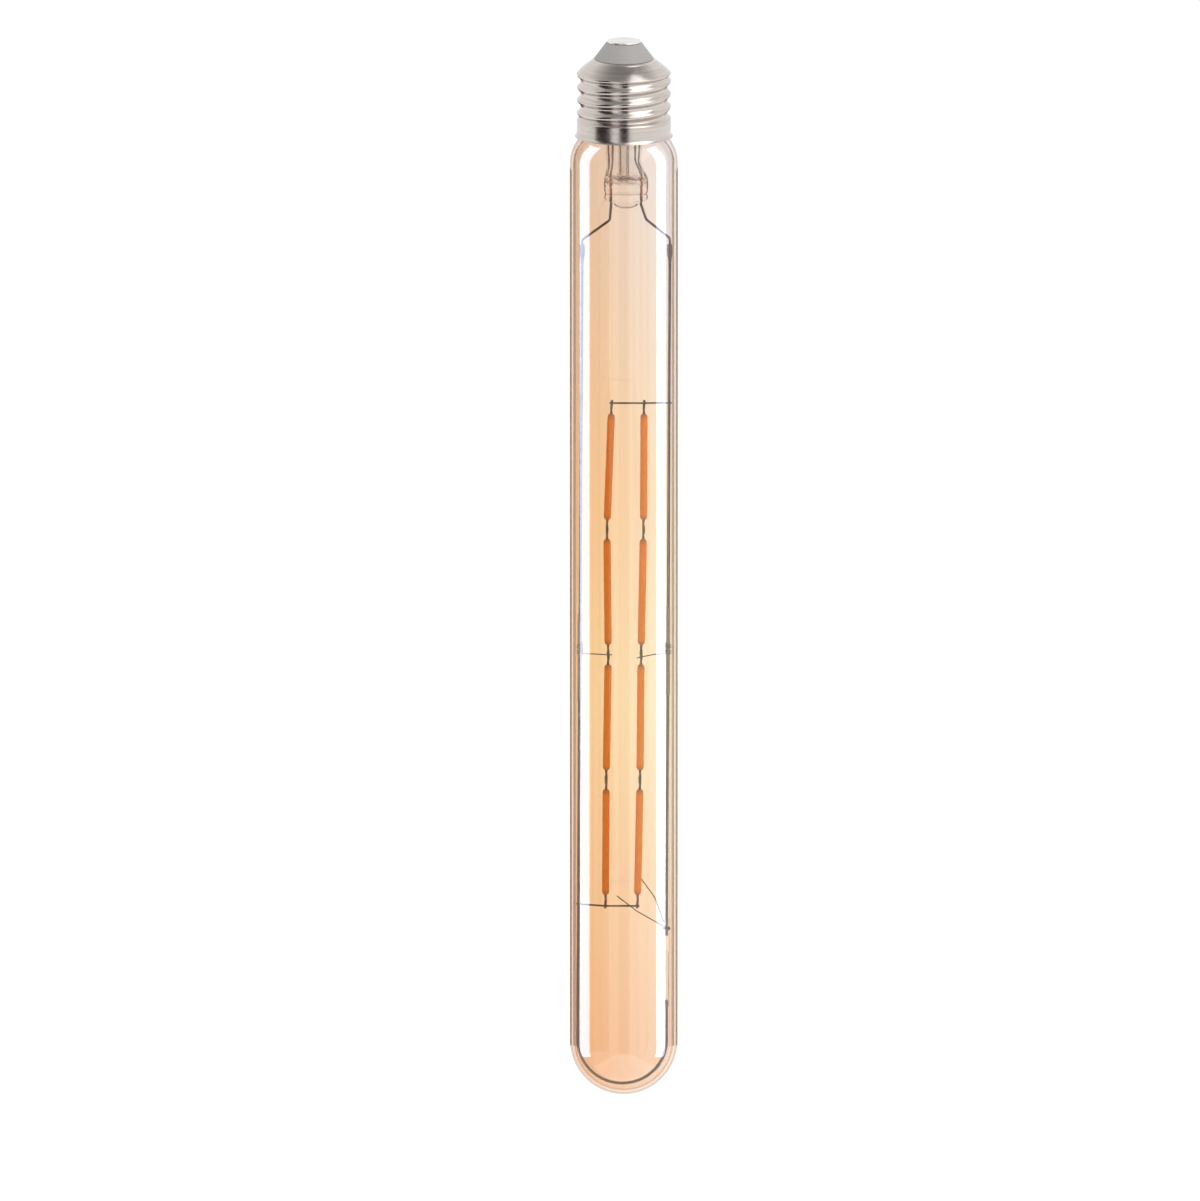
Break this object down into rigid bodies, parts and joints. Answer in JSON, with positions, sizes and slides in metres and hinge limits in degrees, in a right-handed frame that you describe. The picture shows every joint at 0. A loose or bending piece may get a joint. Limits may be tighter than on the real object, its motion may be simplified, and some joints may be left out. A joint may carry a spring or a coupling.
{
  "type": "led filament bulb",
  "caption": "Amber-tinted tubular filament bulb with a screw cap, long orange filaments hung in chains between wire supports on a glass stem.",
  "frame": {"origin": "middle of the centre contact's top face", "axes": "+Z along the bulb's axis, out of the contact and away from the dome; +X to the right and -Y towards the viewer, in whose view the two filament chains hang side by side"},
  "size_m": [0.03, 0.03, 0.3],
  "materials": {
    "nickel_shell": "rolled brass with a warm nickel plate, satin with bright streaks",
    "pale_insulator": "pale grey moulded insulator, matt",
    "contact_metal": "bright plated disc",
    "cement": "baked lamp cement, matt",
    "board": "green circuit board",
    "black_package": "moulded black packages",
    "resistor_body": "painted resistor body",
    "capacitor_can": "drawn can",
    "copper_wire": "bare copper wire",
    "amber_glass": "blown glass with a see-through amber tint",
    "stem_glass": "clear drawn and pressed glass",
    "sleeve_glass": "thin clear glass sleeve",
    "seal_copper": "copper-coated seal wire, reddish in the glass",
    "nickel_wire": "plain nickel wire",
    "tie_wire": "thin dark wire",
    "phosphor_coat_left": "translucent orange coat, satin",
    "phosphor_coat_right": "translucent orange coat, satin",
    "filament_strip": "pale strip inside the coat",
    "filament_lead": "flat plated lead"
  },
  "bodies": {
    "root": {"bottom_bar": "tie_wire", "bottom_insulator_tube": "sleeve_glass", "bridge_rectifier": "black_package", "cap_cement": "cement", "cap_insulator": "pale_insulator", "cap_shell": "nickel_shell", "centre_contact": "contact_metal", "centre_lead": "copper_wire", "driver_board": "board", "driver_chip": "black_package", "exhaust_tube": "stem_glass", "filament_left_1_coat": "phosphor_coat_left", "filament_left_1_leads": "filament_lead", "filament_left_1_strip": "filament_strip", "filament_left_2_coat": "phosphor_coat_left", "filament_left_2_leads": "filament_lead", "filament_left_2_strip": "filament_strip", "filament_left_3_coat": "phosphor_coat_left", "filament_left_3_leads": "filament_lead", "filament_left_3_strip": "filament_strip", "filament_left_4_coat": "phosphor_coat_left", "filament_left_4_leads": "filament_lead", "filament_left_4_strip": "filament_strip", "filament_right_1_coat": "phosphor_coat_right", "filament_right_1_leads": "filament_lead", "filament_right_1_strip": "filament_strip", "filament_right_2_coat": "phosphor_coat_right", "filament_right_2_leads": "filament_lead", "filament_right_2_strip": "filament_strip", "filament_right_3_coat": "phosphor_coat_right", "filament_right_3_leads": "filament_lead", "filament_right_3_strip": "filament_strip", "filament_right_4_coat": "phosphor_coat_right", "filament_right_4_leads": "filament_lead", "filament_right_4_strip": "filament_strip", "fusible_resistor": "resistor_body", "glass_envelope": "amber_glass", "joint_sleeve_left": "nickel_wire", "joint_sleeve_right": "nickel_wire", "lead_in_wire_left": "nickel_wire", "lead_in_wire_right": "nickel_wire", "lower_tie_wire": "tie_wire", "mid_sleeve_left": "sleeve_glass", "mid_sleeve_right": "sleeve_glass", "mid_tie_left": "tie_wire", "mid_tie_right": "tie_wire", "outer_lead_left": "copper_wire", "outer_lead_right": "copper_wire", "seal_wire_left": "seal_copper", "seal_wire_right": "seal_copper", "shell_lead": "copper_wire", "smoothing_capacitor": "capacitor_can", "stem_press": "stem_glass", "support_wire_left": "nickel_wire", "support_wire_right": "nickel_wire", "top_bar": "tie_wire"}
  },
  "joints": []
}
